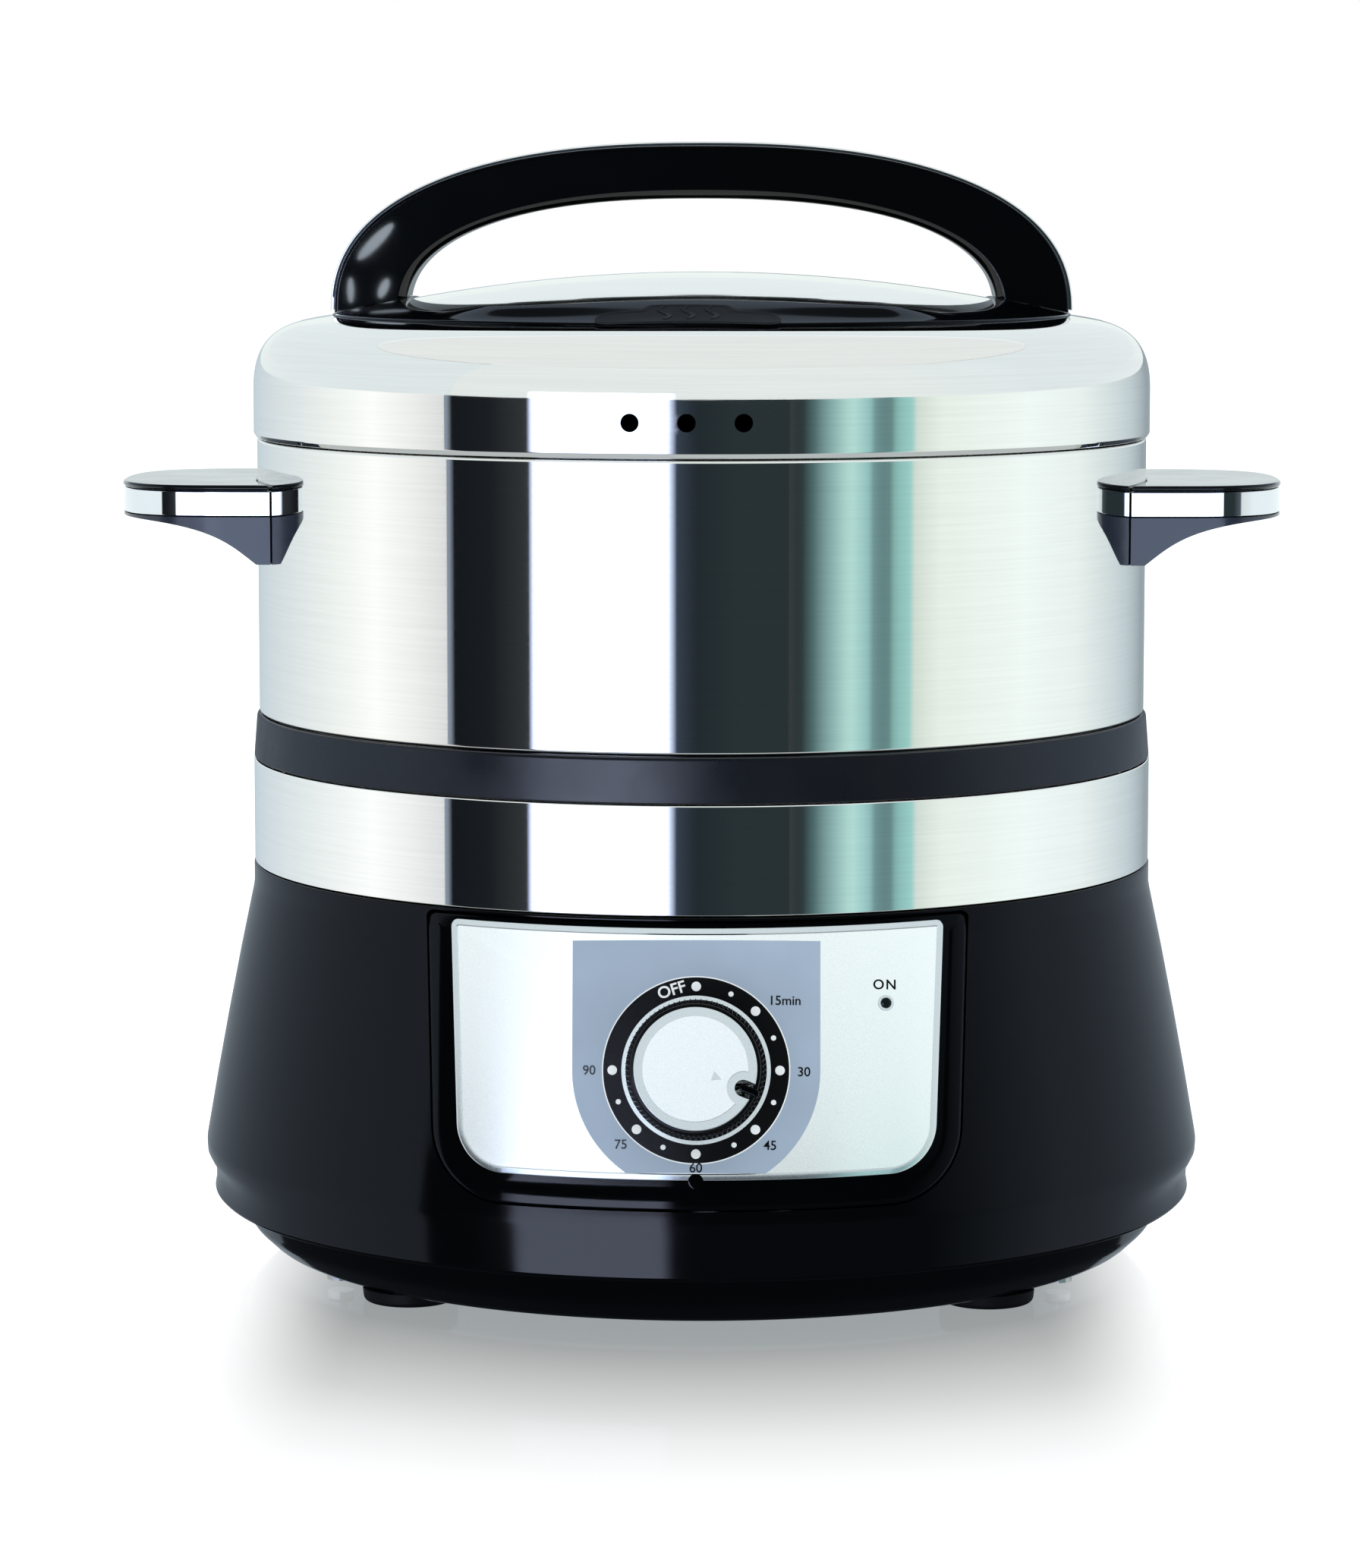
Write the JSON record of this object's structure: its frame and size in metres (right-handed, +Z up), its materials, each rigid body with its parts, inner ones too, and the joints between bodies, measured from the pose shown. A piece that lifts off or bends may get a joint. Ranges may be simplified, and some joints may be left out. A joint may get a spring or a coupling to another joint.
{
  "type": "egg cooker",
  "caption": "Round electric egg and food steamer with a black timer base, a steel pot with side handles, an egg rack and a domed steel lid with an arch handle.",
  "frame": {"origin": "on the pot's axis, in the plane that the rubber feet stand on", "axes": "+Z up, -Y out of the control panel (front), +X towards the right-hand side handle seen from the front"},
  "size_m": [0.3124, 0.294, 0.3016],
  "materials": {
    "satin_black": "satin black moulded plastic with a faint grain",
    "collar_grey": "bluish black moulded plastic, satin",
    "gloss_black": "piano black, high gloss",
    "badge_black": "black with pale printed waves",
    "polished_steel": "polished stainless steel",
    "band_steel": "polished stainless steel with a fine turned grain",
    "bright_trim": "bright chromed trim",
    "silver_plate": "satin silver with printed dial",
    "knob_silver": "satin silver with a fine turned grain",
    "rubber": "matt black rubber",
    "white_plastic": "white heat-proof plastic",
    "heater_metal": "cast, satin",
    "silicone": "red silicone",
    "zinc_steel": "zinc-plated sheet",
    "brass": "plain brass",
    "phenolic": "brown phenolic",
    "lamp_lens": "dark translucent lens",
    "wire_jacket": "glass-fibre sleeve"
  },
  "bodies": {
    "base": {"base_housing": "satin_black", "bottom_tray": "satin_black", "foot_front_left": "rubber", "foot_front_right": "rubber", "foot_rear_left": "rubber", "foot_rear_right": "rubber", "tray_screw_1": "zinc_steel", "tray_screw_2": "zinc_steel", "tray_screw_3": "zinc_steel", "tray_screw_4": "zinc_steel", "steel_band": "band_steel", "collar_ring": "collar_grey", "water_reservoir": "white_plastic", "heating_plate": "heater_metal", "heater_seal": "silicone", "heater_clamp": "zinc_steel", "heating_element": "heater_metal", "thermostat": "phenolic", "thermal_fuse": "white_plastic", "panel_bezel": "gloss_black", "panel_plate": "silver_plate", "lamp_lens": "lamp_lens", "lamp_body": "white_plastic", "timer_case": "zinc_steel", "timer_bell": "brass", "cord_gland": "rubber", "terminal_block": "white_plastic", "timer_lead": "wire_jacket", "heater_lead": "wire_jacket"},
    "knob": {"knob_skirt": "gloss_black", "knob_cap": "knob_silver", "timer_shaft": "brass", "timer_main_gear": "brass"},
    "pinion": {"timer_pinion": "brass"},
    "pot": {"steamer_pot": "polished_steel", "perforated_floor": "polished_steel", "side_handle_cover_left": "satin_black", "side_handle_band_left": "bright_trim", "side_handle_bracket_left": "satin_black", "handle_backing_left": "polished_steel", "side_handle_cover_right": "satin_black", "side_handle_band_right": "bright_trim", "side_handle_bracket_right": "satin_black", "handle_backing_right": "polished_steel", "handle_screw_left_front": "zinc_steel", "handle_screw_left_rear": "zinc_steel", "handle_screw_right_front": "zinc_steel", "handle_screw_right_rear": "zinc_steel"},
    "rack": {"egg_plate": "white_plastic", "rack_post": "polished_steel", "rack_knob": "gloss_black"},
    "lid": {"lid_shell": "polished_steel", "handle_base": "gloss_black", "handle_arch": "gloss_black", "handle_strip": "bright_trim", "steam_badge": "badge_black", "lid_screw_left": "zinc_steel", "lid_screw_right": "zinc_steel"}
  },
  "joints": [
    {"name": "timer_turn", "type": "hinge", "parent": "base", "child": "knob", "pos_m": [0, -0.12838, 0.0707], "axis": [0, -0.9812, 0.193], "range_deg": [-158.2, 111.8]},
    {"name": "pinion_turn", "type": "hinge", "parent": "base", "child": "pinion", "pos_m": [0, -0.13101, 0.05734], "axis": [0, -0.9812, 0.193], "range_deg": [-223.6, 316.4]},
    {"name": "pot_lift", "type": "slide", "parent": "base", "child": "pot", "axis": [0, 0, 1], "range_m": [0, 0.12]},
    {"name": "rack_lift", "type": "slide", "parent": "pot", "child": "rack", "axis": [0, 0, 1], "range_m": [0, 0.15]},
    {"name": "lid_lift", "type": "slide", "parent": "rack", "child": "lid", "axis": [0, 0, 1], "range_m": [0, 0.15]}
  ],
  "couplings": [
    {"joint": "pinion_turn", "follows": "timer_turn", "ratio": -2}
  ]
}
